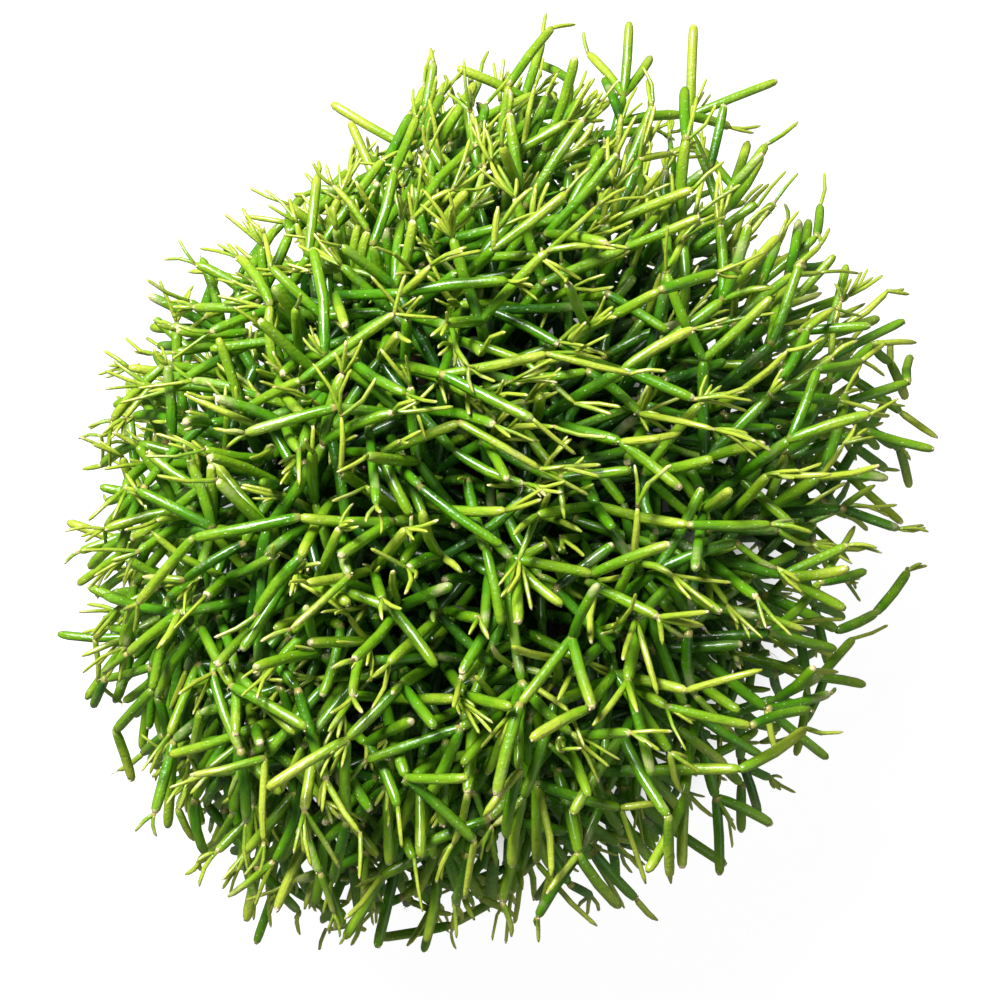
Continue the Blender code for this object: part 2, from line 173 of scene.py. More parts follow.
# Long sprigs that stand out of the crown's edge: where each leaves it, where it forks, and its two tips
SPRIGS = (
    ((0.070, 0.102, 0.115), (0.076, 0.129, 0.122), (0.077, 0.159, 0.128), (0.105, 0.140, 0.125)),
    ((0.046, 0.108, 0.128), (0.053, 0.133, 0.130), (0.055, 0.158, 0.132), (0.063, 0.150, 0.122)),
    ((0.022, 0.104, 0.145), (0.020, 0.128, 0.140), (-0.002, 0.136, 0.145), (0.026, 0.150, 0.135)),
    ((-0.012, 0.088, 0.150), (-0.020, 0.112, 0.140), (-0.043, 0.126, 0.140), (-0.013, 0.135, 0.132)),
    ((0.094, 0.034, 0.128), (0.118, 0.045, 0.118), (0.146, 0.059, 0.118), (0.146, 0.030, 0.108)),
    ((-0.052, -0.096, 0.092), (-0.060, -0.118, 0.075), (-0.072, -0.146, 0.058), (-0.046, -0.138, 0.062)),
    ((-0.088, -0.034, 0.115), (-0.110, -0.044, 0.100), (-0.135, -0.043, 0.098), (-0.127, -0.064, 0.088)),
    ((-0.084, -0.012, 0.124), (-0.108, -0.016, 0.112), (-0.131, -0.007, 0.108), (-0.128, -0.027, 0.102)),
)
SPRIG_FROM = (0.014, 0.060)
SPRIG_TURN = math.radians(75)

# The sides of each kind of segment, and its stations from base to tip: each is a share of the segment's
# length, a shift along it in radii, and the girth there
Kind = collections.namedtuple("Kind", "name sides stations")
STEM_KIND = Kind("stem", 8, (
    (0.0, -0.3, 0.62), (0.0, 0.7, 0.88), (0.0, 2.4, 0.99), (0.5, 0.0, 1.02),
    (1.0, -2.2, 0.99), (1.0, -0.8, 0.85), (1.0, -0.1, 0.46),
))  # fmt: skip
YOUNG_KIND = Kind("young_stem", 6, (
    (0.0, -0.3, 0.70), (0.0, 1.5, 1.00), (0.6, 0.0, 0.96), (1.0, -2.0, 0.80), (1.0, 0.0, 0.32)
))  # fmt: skip
SHOOT_KIND = Kind("shoot", 5, (
    (0.0, -0.5, 0.90), (0.0, 2.5, 1.00), (0.5, 0.0, 1.00), (1.0, -1.6, 0.82), (1.0, 0.0, 0.34)
))  # fmt: skip
BRISTLE_KIND = Kind("bristle", 3, ((0.0, -1.0, 1.0), (0.3, 0.0, 0.9), (0.6, 0.0, 0.7), (1.0, 0.0, 0.3)))
THIN_KINDS = {SHOOT: SHOOT_KIND, YOUNG: YOUNG_KIND, SPROUT: SHOOT_KIND, BRISTLE: BRISTLE_KIND}

# How far the middle of a segment stands off its chord, at most, as a share of its length and in metres, how
# little of that it may be, and how much more often it sags than not
BOW_SHARE = 0.05
BOW_SHARE_OF_ORDER = {FINE_TWIG: 0.09, YOUNG: 0.09, SHOOT: 0.12, SPROUT: 0.12, BRISTLE: 0.45}
BOW_MOST = 0.0011
TWIG_BOW_MOST = 0.0026
BOW_LEAST = 0.1
BOW_SAG = 0.5

# Age, from 0 for this year's growth to 1 for the oldest, with painted shade in it: darker deep in the crown
# and low
# # down and lighter at its outside, partly for real age and partly as painted shade
AGE_OF_ORDER = {
    0: 1.0, 1: 0.88, 2: 0.70, 3: 0.56, INNER: 0.84, TWIG: 0.54, FINE_INNER: 0.86, FINE_TWIG: 0.56, YOUNG: 0.20
}  # fmt: skip
# Painted shade: how much darker a segment is made the deeper in the crown its end lies, from what depth on,
# and how much darker low down in the skirt
DEPTH_SHADE_AND_AGE = 1.1
DEPTH_SHADE_FROM = 0.94
LOW_SHADE_AND_AGE = 0.45
AGE_SPREAD = 0.20
THIN_AGE = 0.14

# Sectors of the crown that the twigs and the shoots are divided into
TWIG_SECTORS = 12
SHOOT_SECTORS = 6

# Girth of the dressed segments against their solids, how many tips are downy and how much, and how many
# bristles a bristly tip has. Then what each vertex of a segment is marked with.
GIRTH = (0.86, 1.00)
THIN_GIRTH = (0.80, 1.15)
DOWNY_SHARE = 0.45
DOWN = (0.4, 1)
BRISTLES = (2, 4)
SEGMENT_MARKS = ("to_tip", "age", "tint", "tip")

# Lumps of wool, peat and perlite: how far their corners stand in or out, and their radii. A lump of wool is
# measured in the radii of its stem.
LUMP_ROUGHNESS = 0.25
WOOL_LUMPS = (2, 5)
WOOL_RADIUS = (0.10, 0.27)
WOOL_OFF_AXIS = (0.2, 0.62)
WOOL_SUNK = (0.1, 0.8)
JOINT_WOOL_SHARE = 0.25
WOOL_FROM = 0.45
CRUMB_RADIUS = (0.0006, 0.0026)
GRAIN_RADIUS = (0.0007, 0.0016)
MOSTLY_SMALL = 3

# Stem skin: the size of its blotches and its grain, the length of its wrinkles and the spacing of its areoles
BLOTCH = 6 * MM
GRAIN = 1 * MM
WRINKLE = 9 * MM
WRINKLE_ROWS = 7
AREOLE_SPACING = 5 * MM
AREOLE_ROWS = 3

# How much older the blotches, the grain and chance make the skin look, and where its four greens stand
# between young and old
BLOTCH_SHADE = 0.5
GRAIN_SHADE = 0.2
TINT_SHADE = 0.3
GREEN_STOPS = (0.0, 0.30, 0.66, 1.0)

# How far down from a tip its down may reach, where it thins out, and how high grain and areoles stand
# against the wrinkles
DOWN_REACH = 2.6 * MM
DOWN_EDGE = 0.9 * MM
FINE_RELIEF = 0.8

# How much rougher the grain makes the skin, at most and in the mean, and the down
GRAIN_ROUGHNESS = 0.25
GRAIN_ROUGHNESS_MEAN = 0.12
DOWN_ROUGHNESS = 0.5

# The floor gives off no light nearer to the pot's axis than the first radius, and all of it beyond the second
SHADE_RADIUS = (0.080, 0.135)

# Half the floor's width, which is also how far off the backdrop stands
FLOOR_HALF = 6
BACKDROP_SIDES = 48
BOARD_GREY = (0.15, 0.15, 0.15, 1)
WHITE = (1, 1, 1, 1)

# Lights and camera
KEY_PLACE = Vector((-0.45, 0.55, 1.15))
KEY_SIZE = 0.4
FILL_PLACE = Vector((0.9, -0.7, 0.9))
FILL_SIZE = 1.2
LIGHTS_AIM = Vector((0, 0, 0.12))
NEAR_CLIP = 0.01

Segment = collections.namedtuple("Segment", "start end radius stem order parent")


def linear(colour):
    """An sRGB colour such as #5a8f1e, as linear red, green and blue."""
    parts = (int(colour[i : i + 2], 16) / 255 for i in (1, 3, 5))
    return tuple(c / 12.92 if c <= 0.04045 else ((c + 0.055) / 1.055) ** 2.4 for c in parts)


def around(values, azimuth):
    """What a ring of evenly spaced values gives at this azimuth, eased between them."""
    place = azimuth % math.tau / math.tau * len(values)
    first = int(place) % len(values)
    share = place - int(place)
    share = share * share * (3 - 2 * share)
    return values[first] * (1 - share) + values[(first + 1) % len(values)] * share


def reach(azimuth):
    """The crown's radius at this azimuth."""
    return around(CROWN_REACH, azimuth)


def inside_crown(point, slack):
    """Whether a point lies within the crown's outline, made larger or smaller by slack."""
    across = math.hypot(point[0], point[1]) / (reach(math.atan2(point[1], point[0])) * slack)
    if point[2] >= CROWN_WAIST:
        up = (point[2] - CROWN_WAIST) / (CROWN_RISE * slack)
        return across**CROWN_ROUNDNESS + up**CROWN_ROUNDNESS < 1
    down = (CROWN_WAIST - point[2]) / SKIRT_DEPTH
    return down < 1 and across + SKIRT_TUCK * down**2 < 1


def outness(point):
    """How far out in the crown a point lies: 0 at its heart and 1 on its outline."""
    across = math.hypot(point[0], point[1]) / reach(math.atan2(point[1], point[0]))
    up = max(point[2] - CROWN_WAIST, 0) / CROWN_RISE
    return (across**CROWN_ROUNDNESS + up**CROWN_ROUNDNESS) ** (1 / CROWN_ROUNDNESS)


def clear_of_pot(point):
    """Whether a point keeps its distance from the pot, and from the soil in it."""
    radius = math.hypot(point[0], point[1])
    if point[2] > POT_HEIGHT + POT_CLEAR:
        return True
    if radius < POT_RIM_RADIUS - POT_CLEAR - POT_WALL:
        return point[2] > SOIL_TOP + POT_CLEAR
    return radius > POT_RIM_RADIUS + 2 * POT_CLEAR


def segment_gaps(starts, ends, others_start, others_end):
    """The least distances between the axes of some straight segments and those of others, as a table."""
    u = (ends - starts)[:, None]
    v = (others_end - others_start)[None]
    w = starts[:, None] - others_start[None]
    a = (u * u).sum(2)
    b = (u * v).sum(2)
    c = (v * v).sum(2)
    d = (u * w).sum(2)
    e = (v * w).sum(2)
    s = np.clip((b * e - c * d) / np.maximum(a * c - b * b, PARALLEL), 0, 1)
    t = np.clip((b * s + e) / c, 0, 1)
    s = np.clip((b * t - d) / a, 0, 1)
    apart = w + s[..., None] * u - t[..., None] * v
    return np.sqrt((apart * apart).sum(2))


class Thicket:
    """The segments grown so far, and the room that they leave."""

    def __init__(self, seed):
        self.random = random.Random(seed)
        self.segments = []
        self.starts = np.zeros((MOST_SEGMENTS, 3))
        self.ends = np.zeros((MOST_SEGMENTS, 3))
        self.radii = np.zeros(MOST_SEGMENTS)
        self.parents = np.zeros(MOST_SEGMENTS, int)
        self.daughters = []

    def add(self, start, end, order, stem, parent):
        index = len(self.segments)
        radius = ORDERS[order].radius
        self.segments.append(Segment(start, end, radius, stem, order, parent))
        self.starts[index] = start
        self.ends[index] = end
        self.radii[index] = radius
        self.parents[index] = parent
        self.daughters.append([])
        if parent >= 0:
            self.daughters[parent].append(index)
        return index

    def bears(self, index):
        """Whether a segment's end bears thick growth."""
        return any(self.segments[i].order not in THIN for i in self.daughters[index])

    def clearances(self, start, ends, radius, mother):
        """For segments from one start to several ends: the least gap to the rest, and the room at the tip."""
        count = len(self.segments)
        middles = (self.starts[:count] + self.ends[:count]) / 2
        near = ((middles - np.array(start)) ** 2).sum(1) < NEAR**2
        near[mother] = False
        near &= self.parents[:count] != mother
        if not near.any():
            return np.full(len(ends), ROOM_WANTED), np.full(len(ends), ROOM_WANTED)
        ends = np.array(ends)
        starts = np.array([start] * len(ends))
        others = (self.starts[:count][near], self.ends[:count][near])
        gaps = segment_gaps(starts, ends, *others) - self.radii[:count][near] - radius
        rooms = segment_gaps(starts + (ends - starts) * TIP_FROM, ends, *others)
        return gaps.min(1), np.minimum(rooms.min(1), ROOM_WANTED)

    def turned(self, direction, most):
        """A direction that leans away from the given one as a fork's arm does, any way round."""
        lean = self.random.uniform(FORK_LEAST, most)
        roll = self.random.uniform(0, math.tau)
        side = direction.orthogonal().normalized()
        other = direction.cross(side)
        return direction * math.cos(lean) + (side * math.cos(roll) + other * math.sin(roll)) * math.sin(lean)

    def fork(self, mother, order, gap, apart=SISTERS_LEAST, most=FORK_MOST):
        """Grows the freest of several tries at a segment from another's end. None where there is no room."""
        stem = self.segments[mother]
        plan = ORDERS[order]
        direction = (stem.end - stem.start).normalized()
        sisters = [self.segments[i].end - self.segments[i].start for i in self.daughters[mother]]
        slack = self.random.uniform(*plan.slack)
        if order in (FINE_INNER, FINE_TWIG):
            slack *= around(FULLNESS, math.atan2(stem.end.y, stem.end.x))
        sag = SAG * math.hypot(stem.end.x, stem.end.y) / CROWN_REACH[0]
        ways = []
        for _ in range(TRIES):
            way = (self.turned(direction, most) - Vector((0, 0, sag))).normalized()
            end = stem.end + way * self.random.uniform(*plan.length)
            if way.dot((end - HEART).normalized()) < plan.outward or not inside_crown(end, slack):
                continue
            if not clear_of_pot(end) or not clear_of_pot((stem.end + end) / 2):
                continue
            if all(way.angle(sister) > apart for sister in sisters):
                ways.append((way, end))
        if not ways:
            return None
        gaps, rooms = self.clearances(stem.end, [end for _, end in ways], plan.radius, mother)
        outward = Vector((stem.end.x, stem.end.y, 0)) / CROWN_REACH[0]
        best, best_score = None, 0.0
        for (way, end), clear, room in zip(ways, gaps, rooms):
            score = 1 + room / ROOM_WANTED + OUTWARD_PULL * way.dot(outward)
            if clear > gap and score > best_score:
                best, best_score = end, score
        if best is None:
            return None
        return self.add(stem.end, best, order, stem.stem, mother)

    def root(self, stem):
        """A stem's first segment: it stands in the soil, and leans out more the nearer it is to the wall."""
        share = math.sqrt((stem + 0.5) / STEMS)
        azimuth = stem * GOLDEN_TURN
        room = (reach(azimuth) - POT_RIM_RADIUS) / (max(CROWN_REACH) - POT_RIM_RADIUS)
        lean = ROOT_LEAN * share * room**0.5 + self.random.uniform(-ROOT_SWAY, ROOT_SWAY)
        out = Vector((math.cos(azimuth), math.sin(azimuth), 0))
        foot = out * share * ROOT_SPREAD + Vector((0, 0, SOIL_TOP))
        way = out * math.sin(lean) + Vector((0, 0, math.cos(lean)))
        end = foot + way * self.random.uniform(*ORDERS[0].length)
        return self.add(foot - way * ROOT_DEPTH, end, 0, stem, -1)

    def free(self, mother, points):
        """Whether a run of segments through these points, from a segment's end, stays clear of the others."""
        starts = [self.segments[mother].end, *points]
        radius = ORDERS[2].radius
        return all(self.clearances(a, [b], radius, mother)[0][0] > STEM_GAP for a, b in zip(starts, points))

    def sprig(self, *places):
        """Grows a placed sprig from the nearest segment end that points its way and leaves it room."""
        foot, joint, first, second = map(Vector, places)
        for mother in sorted(range(len(self.segments)), key=lambda i: (self.segments[i].end - foot).length):
            stem = self.segments[mother]
            reaching = foot - stem.end
            if stem.order > 1 or not SPRIG_FROM[0] < reaching.length < SPRIG_FROM[1]:
                continue
            if reaching.angle(stem.end - stem.start) < SPRIG_TURN and self.free(mother, (foot, joint, first)):
                arm = self.add(stem.end, foot, 2, stem.stem, mother)
                arm = self.add(foot, joint, 3, stem.stem, arm)
                self.add(joint, first, 3, stem.stem, arm)
                self.add(joint, second, 3, stem.stem, arm)
                return

    def grow(self):
        """Roots every stem, then lets all of them fork, one order after another."""
        tips = [self.root(stem) for stem in range(STEMS)]
        for order in range(1, INNER):
            self.random.shuffle(tips)
            born = []
            for tip in tips:
                for _ in range(self.random.randint(*ORDERS[order - 1].daughters)):
                    daughter = self.fork(tip, order, STEM_GAP)
                    if daughter is not None:
                        born.append(daughter)
            tips = born
            if order == 1:
                for places in SPRIGS:
                    self.sprig(*places)

    def fill(self, order, wanted, gap, band):
        """Adds side twigs of one order, from thick segments whose ends lie in a band of the crown."""
        born = 0
        for _ in range(wanted * PATIENCE):
            mother = self.random.randrange(len(self.segments))
            if self.segments[mother].order in THIN or len(self.daughters[mother]) >= MOST_DAUGHTERS:
                continue
            in_band = band[0] < outness(self.segments[mother].end) < band[1]
            if in_band and self.fork(mother, order, gap) is not None:
                born += 1
                if born == wanted:
                    return

    def sprout(self, share, gap):
        """Gives a share of the stems' tips a pair of thin young shoots."""
        tips = [i for i in range(len(self.segments)) if not self.daughters[i]]
        for tip in tips:
            if self.random.random() < share:
                for _ in range(SHOOTS):
                    self.fork(tip, SHOOT, gap)

    def tuft(self, order, share, side, lopsided, count):
        """Gives segment ends near the crown's outside a fan of thin growth, more on its youngest side."""
        for mother in range(len(self.segments)):
            stem = self.segments[mother]
            if stem.order in (SHOOT, SPROUT, BRISTLE) or outness(stem.end) < TUFTS_FROM:
                continue
            turn = math.cos(math.atan2(stem.end.y, stem.end.x) - side)
            if self.random.random() < share * (1 + lopsided * turn) / (1 + len(self.daughters[mother])):
                for _ in range(self.random.randint(*count)):
                    self.fork(mother, order, TUFT_GAP, SHOOTS_LEAST, SHOOTS_MOST)


@functools.cache
def solid_growth(seed):
    """The segments of the part's own stems, checked against its solids."""
    thicket = Thicket(seed)
    thicket.grow()
    thicket.fill(INNER, INNER_TWIGS, STEM_GAP, INNER_BAND)
    thicket.fill(TWIG, OUTER_TWIGS, STEM_GAP, OUTER_BAND)
    thicket.sprout(SHOOT_SHARE, STEM_GAP)
    for stem in range(STEMS):
        node = f"stem_{stem + 1:02d}"
        tips = [s.end for s in thicket.segments if s.stem == stem]
        low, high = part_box(node)
        for axis in range(3):
            off = max(max(tip[axis] for tip in tips) - high[axis], low[axis] - min(tip[axis] for tip in tips))
            if off > STEM_GAP:
                raise RuntimeError(f"{node} didn't grow as its solid did: it is {off:.4f} m off")
    return thicket


@functools.cache
def whole_growth(seed, inner, twigs, young, tufted, side, lopsided, most_shoots, bristly):
    """All segments: those of the solids first, then the finer growth between them."""
    thicket = copy.deepcopy(solid_growth(seed))
    thicket.fill(FINE_INNER, inner, FINE_INNER_GAP, FINE_INNER_BAND)
    thicket.fill(FINE_TWIG, twigs, FINE_GAP, FINE_TWIG_BAND)
    thicket.fill(YOUNG, young, FINE_GAP, YOUNG_BAND)
    thicket.tuft(SPROUT, tufted, side, lopsided, (1, most_shoots))
    thicket.tuft(BRISTLE, bristly, side, lopsided, BRISTLES)
    return thicket


def grown(settings):
    """All segments, as these settings have them."""
    return whole_growth(
        settings.seed,
        settings.inner_twigs,
        settings.side_twigs,
        settings.young_stems,
        settings.tuft_share,
        settings.tuft_side,
        settings.tuft_lopsided,
        settings.most_shoots,
        settings.bristle_share,
    )


def square_to(way, vector):
    """The part of a vector that stands square to a unit one, made a unit long."""
    return (vector - way * vector.dot(way)).normalized()


def mesh_of(name, shape):
    """The shape as a mesh. The shape itself is used up."""
    mesh = bpy.data.meshes.new(name)
    shape.to_mesh(mesh)
    shape.free()
    return mesh


def loose_object(name, shape):
    """Makes the shape an object that is no piece of the part."""
    item = bpy.data.objects.new(name, mesh_of(name, shape))
    bpy.context.scene.collection.objects.link(item)
    return item


def finished_object(name, shape, material, slot, *nodes):
    """Makes the shape a piece of the part, which rides on its one body and may stand for solids of it."""
    piece = loose_object(name, shape)
    piece.data.materials.append(material)
    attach(piece, "root")
    if nodes:
        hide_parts(*nodes)
    return piece


def ring_edges(ring):
    """The edges that join the vertices of one ring."""
    corners = set(ring)
    edges = dict.fromkeys(edge for vert in ring for edge in vert.link_edges)
    return [edge for edge in edges if set(edge.verts) <= corners]


@functools.cache
def segment_template(kind):
    """A straight closed tube with a ring at each station's number: segments of its kind are copies of it."""
    shape = bmesh.new()
    for layer in SEGMENT_MARKS:
        shape.verts.layers.float.new(layer)
    skin = shape.loops.layers.uv.new("skin")
    ring = bmesh.ops.create_circle(shape, cap_ends=True, segments=kind.sides, radius=1)["verts"]
    for _ in kind.stations[1:]:
        made = bmesh.ops.extrude_edge_only(shape, edges=ring_edges(ring))["geom"]
        ring = [item for item in made if isinstance(item, bmesh.types.BMVert)]
        bmesh.ops.translate(shape, verts=ring, vec=(0, 0, 1))
    bmesh.ops.contextual_create(shape, geom=ring_edges(ring))
    bmesh.ops.recalc_face_normals(shape, faces=shape.faces)
    for face in shape.faces:
        face.smooth = True
        middle = face.calc_center_median()
        facing = math.atan2(middle.y, middle.x)
        for loop in face.loops:
            turn = math.atan2(loop.vert.co.y, loop.vert.co.x) - facing
            loop[skin].uv = ((facing + (turn + math.pi) % math.tau - math.pi) / math.tau, loop.vert.co.z)
    return mesh_of(kind.name, shape)


def add_segment(shape, kind, segment, girth, bow, marks):
    """Bends a copy of the kind's tube along one segment, which bows aside by a vector at its middle."""
    first = len(shape.verts)
    shape.from_mesh(segment_template(kind))
    shape.verts.ensure_lookup_table()
    to_tip, age, tint, tip = (shape.verts.layers.float[name] for name in SEGMENT_MARKS)
    skin = shape.loops.layers.uv["skin"]
    along = segment.end - segment.start
    length = along.length
    side = along.orthogonal().normalized()
    rings = []
    for share, shift, width in kind.stations:
        distance = share * length + shift * segment.radius
        place = distance / length
        centre = segment.start + along * place + bow * (4 * place * (1 - place))
        tangent = (along / length + bow * (4 * (1 - 2 * place) / length)).normalized()
        side = square_to(tangent, side)
        rings.append((centre, side, tangent.cross(side), width * segment.radius * girth, distance))
    for vert in shape.verts[first:]:
        centre, side, other, radius, distance = rings[round(vert.co.z)]
        vert.co = centre + (side * vert.co.x + other * vert.co.y) * radius
        vert[to_tip] = length - distance
        vert[age], vert[tint], vert[tip] = marks
        for loop in vert.link_loops:
            loop[skin].uv.y = distance


def segment_age_and_shade(segment, dice):
    """From 0 for this year's growth to 1 for the oldest: by order and by chance, with painted shade, darker
    deep in the crown and low down and lighter at its outside.
    """
    if segment.order in (SHOOT, SPROUT, BRISTLE):
        return dice.uniform(0, THIN_AGE)
    # Painted shade: darker the deeper in the crown the segment ends, lighter right at its outside, and darker
    # low down
    age = AGE_OF_ORDER[segment.order] + DEPTH_SHADE_AND_AGE * (DEPTH_SHADE_FROM - outness(segment.end))
    age += LOW_SHADE_AND_AGE * max(CROWN_WAIST - segment.end.z, 0) / SKIRT_DEPTH
    return min(max(age + dice.uniform(-AGE_SPREAD, AGE_SPREAD), 0), 1)


def segment_bow(segment, most, dice):
    """How far and which way the middle stands off the chord: any way round, but sagging more often."""
    share = BOW_SHARE_OF_ORDER.get(segment.order, BOW_SHARE)
    along = segment.end - segment.start
    turn = Vector((dice.gauss(0, 1), dice.gauss(0, 1), dice.gauss(BOW_SAG, 1)))
    return square_to(along.normalized(), turn) * min(along.length * share * dice.uniform(BOW_LEAST, 1), most)


def segments_shape(thicket, indices, dice, bow_most):
    """One mesh of many segments, each a bent copy of the tube of its kind."""
    shape = bmesh.new()
    for index in indices:
        segment = thicket.segments[index]
        kind = THIN_KINDS.get(segment.order, STEM_KIND)
        girth = dice.uniform(*GIRTH) if kind is STEM_KIND else dice.uniform(*THIN_GIRTH)
        bow = segment_bow(segment, bow_most, dice)
        bare = thicket.bears(index) or dice.random() > DOWNY_SHARE
        downy = 0.0 if bare else dice.uniform(*DOWN)
        add_segment(shape, kind, segment, girth, bow, (segment_age_and_shade(segment, dice), dice.random(), downy))
    return shape


def sector_of(segment, sectors):
    """Which of the crown's equal sectors a segment's middle lies in."""
    middle = (segment.start + segment.end) / 2
    return int(math.atan2(middle.y, middle.x) % math.tau / math.tau * sectors) % sectors


def finer_segments(settings, orders, sector, sectors):
    """Which segments of the finer growth are of these orders and lie in a sector of the crown."""
    thicket = grown(settings)
    first = len(solid_growth(settings.seed).segments)
    return [
        i
        for i in range(first, len(thicket.segments))
        if thicket.segments[i].order in orders and sector_of(thicket.segments[i], sectors) == sector
    ]


@functools.cache
def lump_template():
    """A ball of 20 faces and unit radius, which every lump is a copy of."""
    shape = bmesh.new()
    bmesh.ops.create_icosphere(shape, subdivisions=1, radius=1)
    for face in shape.faces:
        face.smooth = True
    return mesh_of("lump", shape)


def add_lump(shape, place, radius, flat, dice):
    """A small uneven ball, turned any way and flattened."""
    angle = dice.uniform(0, math.tau)
    turn = Matrix.Rotation(angle, 3, Vector([dice.gauss(0, 1) for _ in range(3)]).normalized())
    first = len(shape.verts)
    shape.from_mesh(lump_template())
    shape.verts.ensure_lookup_table()
    for vert in shape.verts[first:]:
        corner = turn @ vert.co * radius * dice.uniform(1 - LUMP_ROUGHNESS, 1 + LUMP_ROUGHNESS)
        vert.co = place + Vector((corner.x, corner.y, corner.z * flat))


def wool_shape(thicket, share, dice):
    """Scraps of areole wool at some tips and joints near the crown's outside."""
    shape = bmesh.new()
    for index, segment in enumerate(thicket.segments):
        if segment.order in THIN or outness(segment.end) < WOOL_FROM:
            continue
        if dice.random() > share * (JOINT_WOOL_SHARE if thicket.bears(index) else 1):
            continue
        way = (segment.end - segment.start).normalized()
        for _ in range(dice.randint(*WOOL_LUMPS)):
            side = square_to(way, Vector([dice.gauss(0, 1) for _ in range(3)]))
            aside = side * segment.radius * dice.uniform(*WOOL_OFF_AXIS)
            sunk = way * segment.radius * dice.uniform(*WOOL_SUNK)
            radius = segment.radius * dice.uniform(*WOOL_RADIUS)
            add_lump(shape, segment.end + aside - sunk, radius, 1, dice)
    return shape


def strewn_shape(count, radii, dice):
    """Lumps strewn over the soil between the stems' feet, sunk a little into it, most of them small."""
    thicket = solid_growth(bpy.context.scene.mistletoe_growth.seed)
    feet = []
    for segment in thicket.segments[:STEMS]:
        way = (segment.end - segment.start).normalized()
        feet.append((segment.start + way * ROOT_DEPTH, segment.radius))
    shape = bmesh.new()
    for _ in range(count):
        radius = radii[0] + (radii[1] - radii[0]) * dice.random() ** MOSTLY_SMALL
        azimuth = dice.uniform(0, math.tau)
        across = (SOIL_RADIUS - radius) * math.sqrt(dice.random())
        height = SOIL_TOP + radius * LUMP_LIFT
        place = Vector((math.cos(azimuth) * across, math.sin(azimuth) * across, height))
        if all(math.dist(place.xy, foot.xy) > thick * FOOT_ROOM + radius for foot, thick in feet):
            add_lump(shape, place, radius, LUMP_FLAT, dice)
    return shape


def wall_radius(height):
    """The radius of the pot's outer wall under the rim, which widens from the base."""
    rim_foot = POT_HEIGHT - POT_RIM_HEIGHT
    top = POT_RIM_RADIUS - POT_RIM_STEP
    return POT_BASE_RADIUS + (top - POT_BASE_RADIUS) * height / rim_foot


def pot_profile():
    """From the middle of the inner floor, up the inside, over the rim and down the outside to the base."""
    rim_foot = POT_HEIGHT - POT_RIM_HEIGHT
    return (
        (0, POT_FLOOR),
        (wall_radius(POT_FLOOR) - POT_WALL, POT_FLOOR),
        (wall_radius(rim_foot) - POT_WALL, rim_foot),
        (POT_RIM_RADIUS - POT_RIM_TAPER - POT_WALL, rim_foot + POT_WALL),
        (POT_RIM_RADIUS - POT_WALL, POT_HEIGHT),
        (POT_RIM_RADIUS, POT_HEIGHT),
        (POT_RIM_RADIUS - POT_RIM_TAPER, rim_foot),
        (wall_radius(rim_foot), rim_foot),
        (wall_radius(POT_BASE_CHAMFER), POT_BASE_CHAMFER),
        (POT_BASE_RADIUS - POT_BASE_CHAMFER, 0),
        (0, 0),
    )


def pot_shape():
    """The pot's profile turned about the Z axis, with its sharp moulded edges eased."""
    shape = bmesh.new()
    points = [shape.verts.new((radius, 0, height)) for radius, height in pot_profile()]
    for first, second in zip(points, points[1:]):
        shape.edges.new((first, second))
    bmesh.ops.spin(
        shape,
        geom=shape.verts[:] + shape.edges[:],
        cent=(0, 0, 0),
        axis=(0, 0, 1),
        angle=math.tau,
        steps=POT_STEPS,
        use_merge=True,
    )
    bmesh.ops.remove_doubles(shape, verts=shape.verts, dist=SAME_POINT)
    bmesh.ops.recalc_face_normals(shape, faces=shape.faces)
    sharp = [edge for edge in shape.edges if edge.calc_face_angle(0) > SHARP_EDGE]
    bmesh.ops.bevel(shape, geom=sharp, offset=POT_EDGE, segments=2, affect="EDGES", profile=0.5, material=-1)
    return shape


def drain_cutter():
    """The round bars that pierce the pot's floor where its drain holes are."""
    shape = bmesh.new()
    for turn in range(DRAIN_HOLES):
        azimuth = math.tau * (turn + 0.5) / DRAIN_HOLES
        place = Vector((math.cos(azimuth), math.sin(azimuth), 0)) * DRAIN_RING + Vector((0, 0, POT_FLOOR / 2))
        bmesh.ops.create_cone(
            shape,
            cap_ends=True,
            segments=DRAIN_SIDES,
            radius1=DRAIN_RADIUS,
            radius2=DRAIN_RADIUS,
            depth=POT_FLOOR * 3,
            matrix=Matrix.Translation(place),
        )
    return shape


def pierced(shape, cutter):
    """The shape with the cutter taken out of it."""
    whole = loose_object("pot_whole", shape)
    bars = loose_object("drain_bars", cutter)
    cut = whole.modifiers.new("drain_holes", "BOOLEAN")
    cut.operation = "DIFFERENCE"
    cut.object = bars
    mesh = bpy.data.meshes.new_from_object(whole.evaluated_get(bpy.context.evaluated_depsgraph_get()))
    result = bmesh.new()
    result.from_mesh(mesh)
    for item in (whole, bars):
        bpy.data.objects.remove(item)
    bpy.data.meshes.remove(mesh)
    return result


def add_node(tree, kind, settings=(), inputs=(), output=0):
    """Adds a node, sets it, fills its inputs with values or other nodes' outputs, and gives an output."""
    node = tree.nodes.new(kind)
    for name, value in dict(settings).items():
        setattr(node, name, value)
    for name, value in dict(inputs).items():
        if isinstance(value, bpy.types.NodeSocket):
            tree.links.new(value, node.inputs[name])
        else:
            node.inputs[name].default_value = value
    return node.outputs[output] if node.outputs else node


def new_material(name):
    """A material with its tree cleared, and the tree."""
    material = bpy.data.materials.new(name)
    material.use_nodes = True
    tree = material.node_tree
    tree.nodes.clear()
    return material, tree


